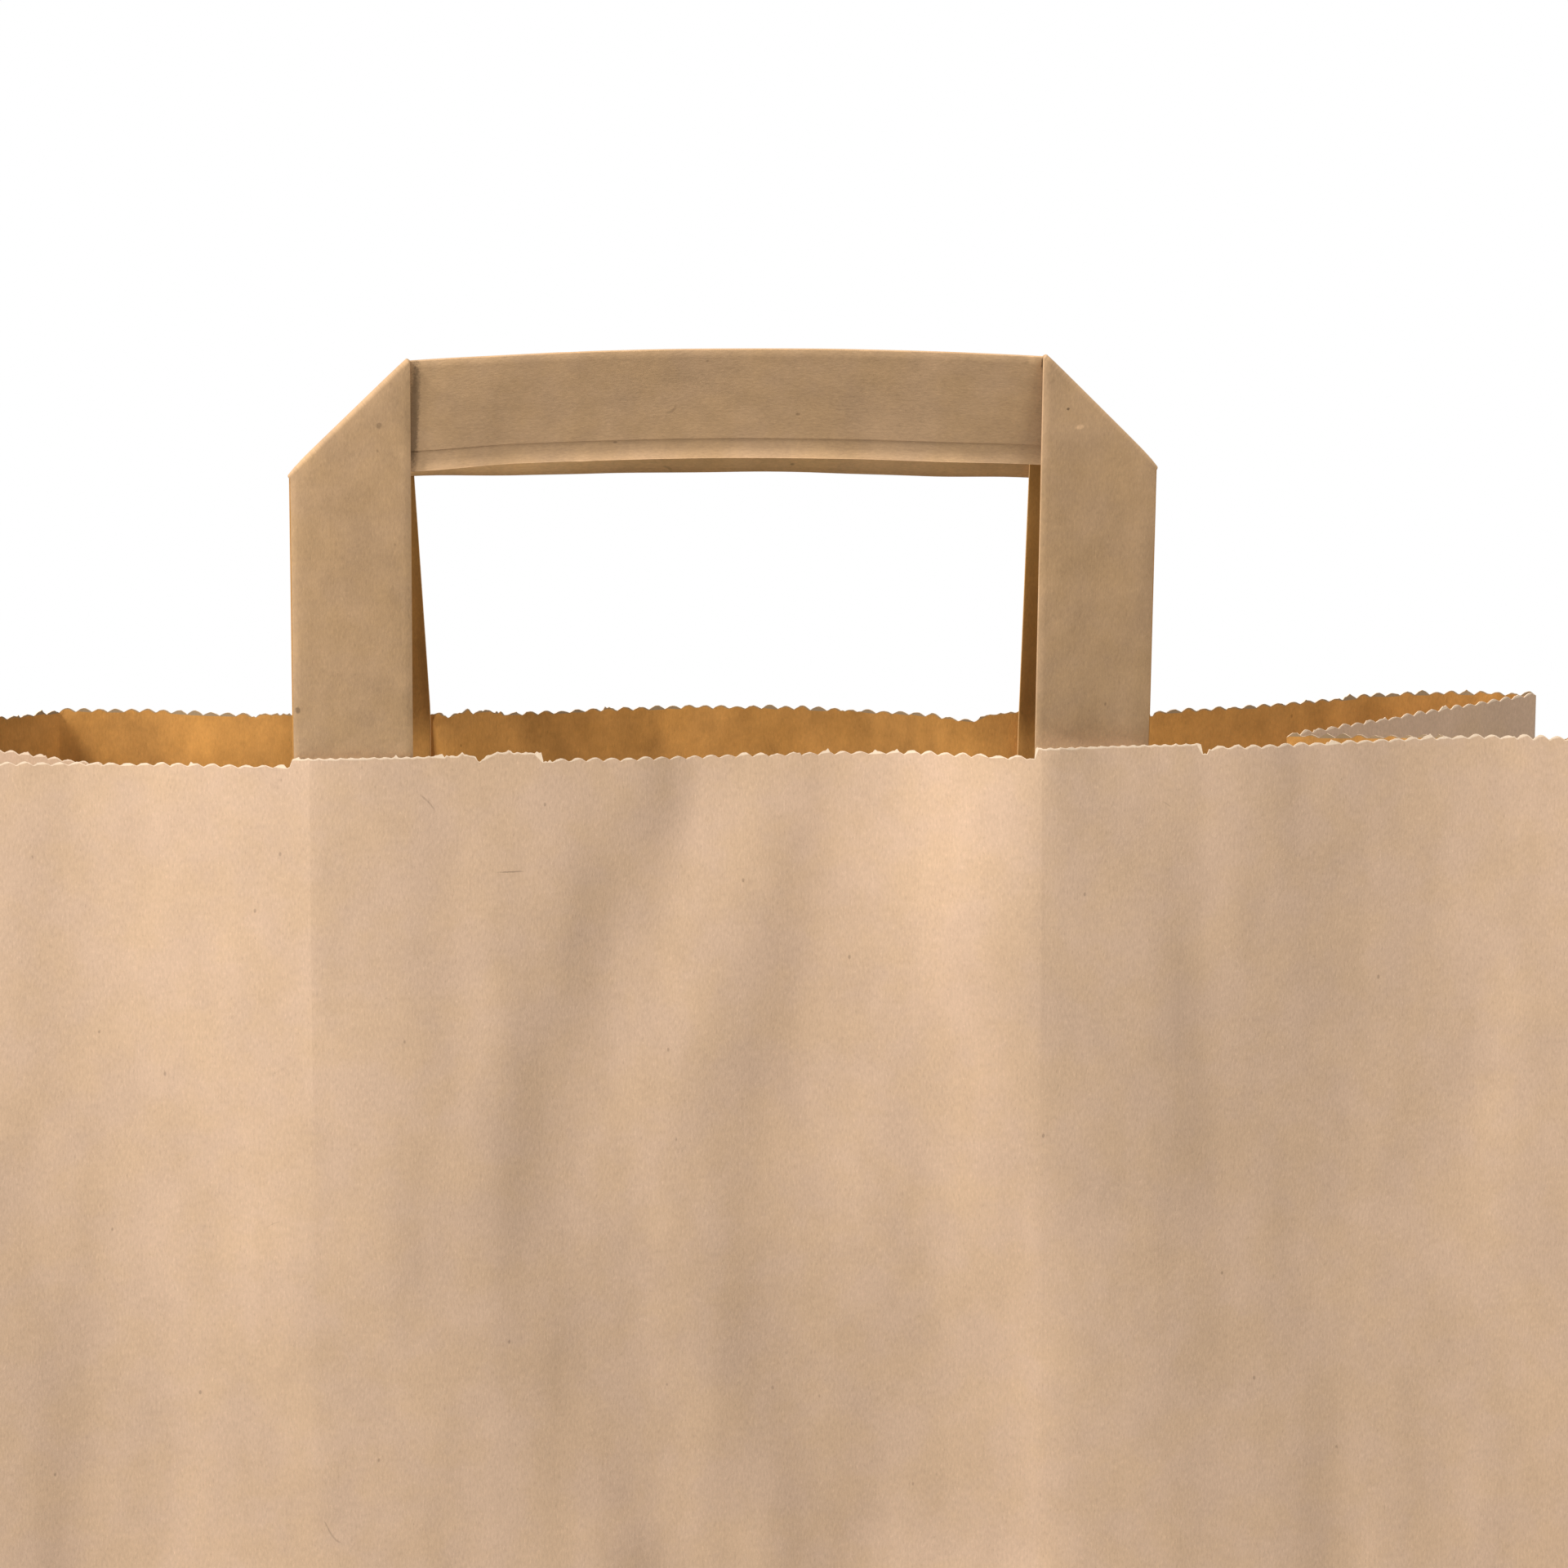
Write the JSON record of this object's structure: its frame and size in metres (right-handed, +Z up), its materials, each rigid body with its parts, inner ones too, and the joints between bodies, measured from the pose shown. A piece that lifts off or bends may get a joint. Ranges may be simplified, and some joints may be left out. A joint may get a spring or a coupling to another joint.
{
  "type": "paper carrier bag",
  "caption": "Brown kraft paper carrier bag, standing open, with side gussets, a block bottom, a saw-tooth mouth and flat folded paper handles glued inside the panels.",
  "frame": {"origin": "on the floor under the middle of the block bottom", "axes": "+Z up out of the mouth, +X along the front panel to its right end, -Y out of the front panel"},
  "size_m": [0.3202, 0.1202, 0.4721],
  "materials": {
    "bag_paper": "matte brown kraft",
    "handle_paper": "matte brown kraft, a little darker"
  },
  "bodies": {
    "root": {"bag_body": "bag_paper", "front_handle": "handle_paper", "back_handle": "handle_paper", "front_patch": "handle_paper", "back_patch": "handle_paper"}
  },
  "joints": []
}
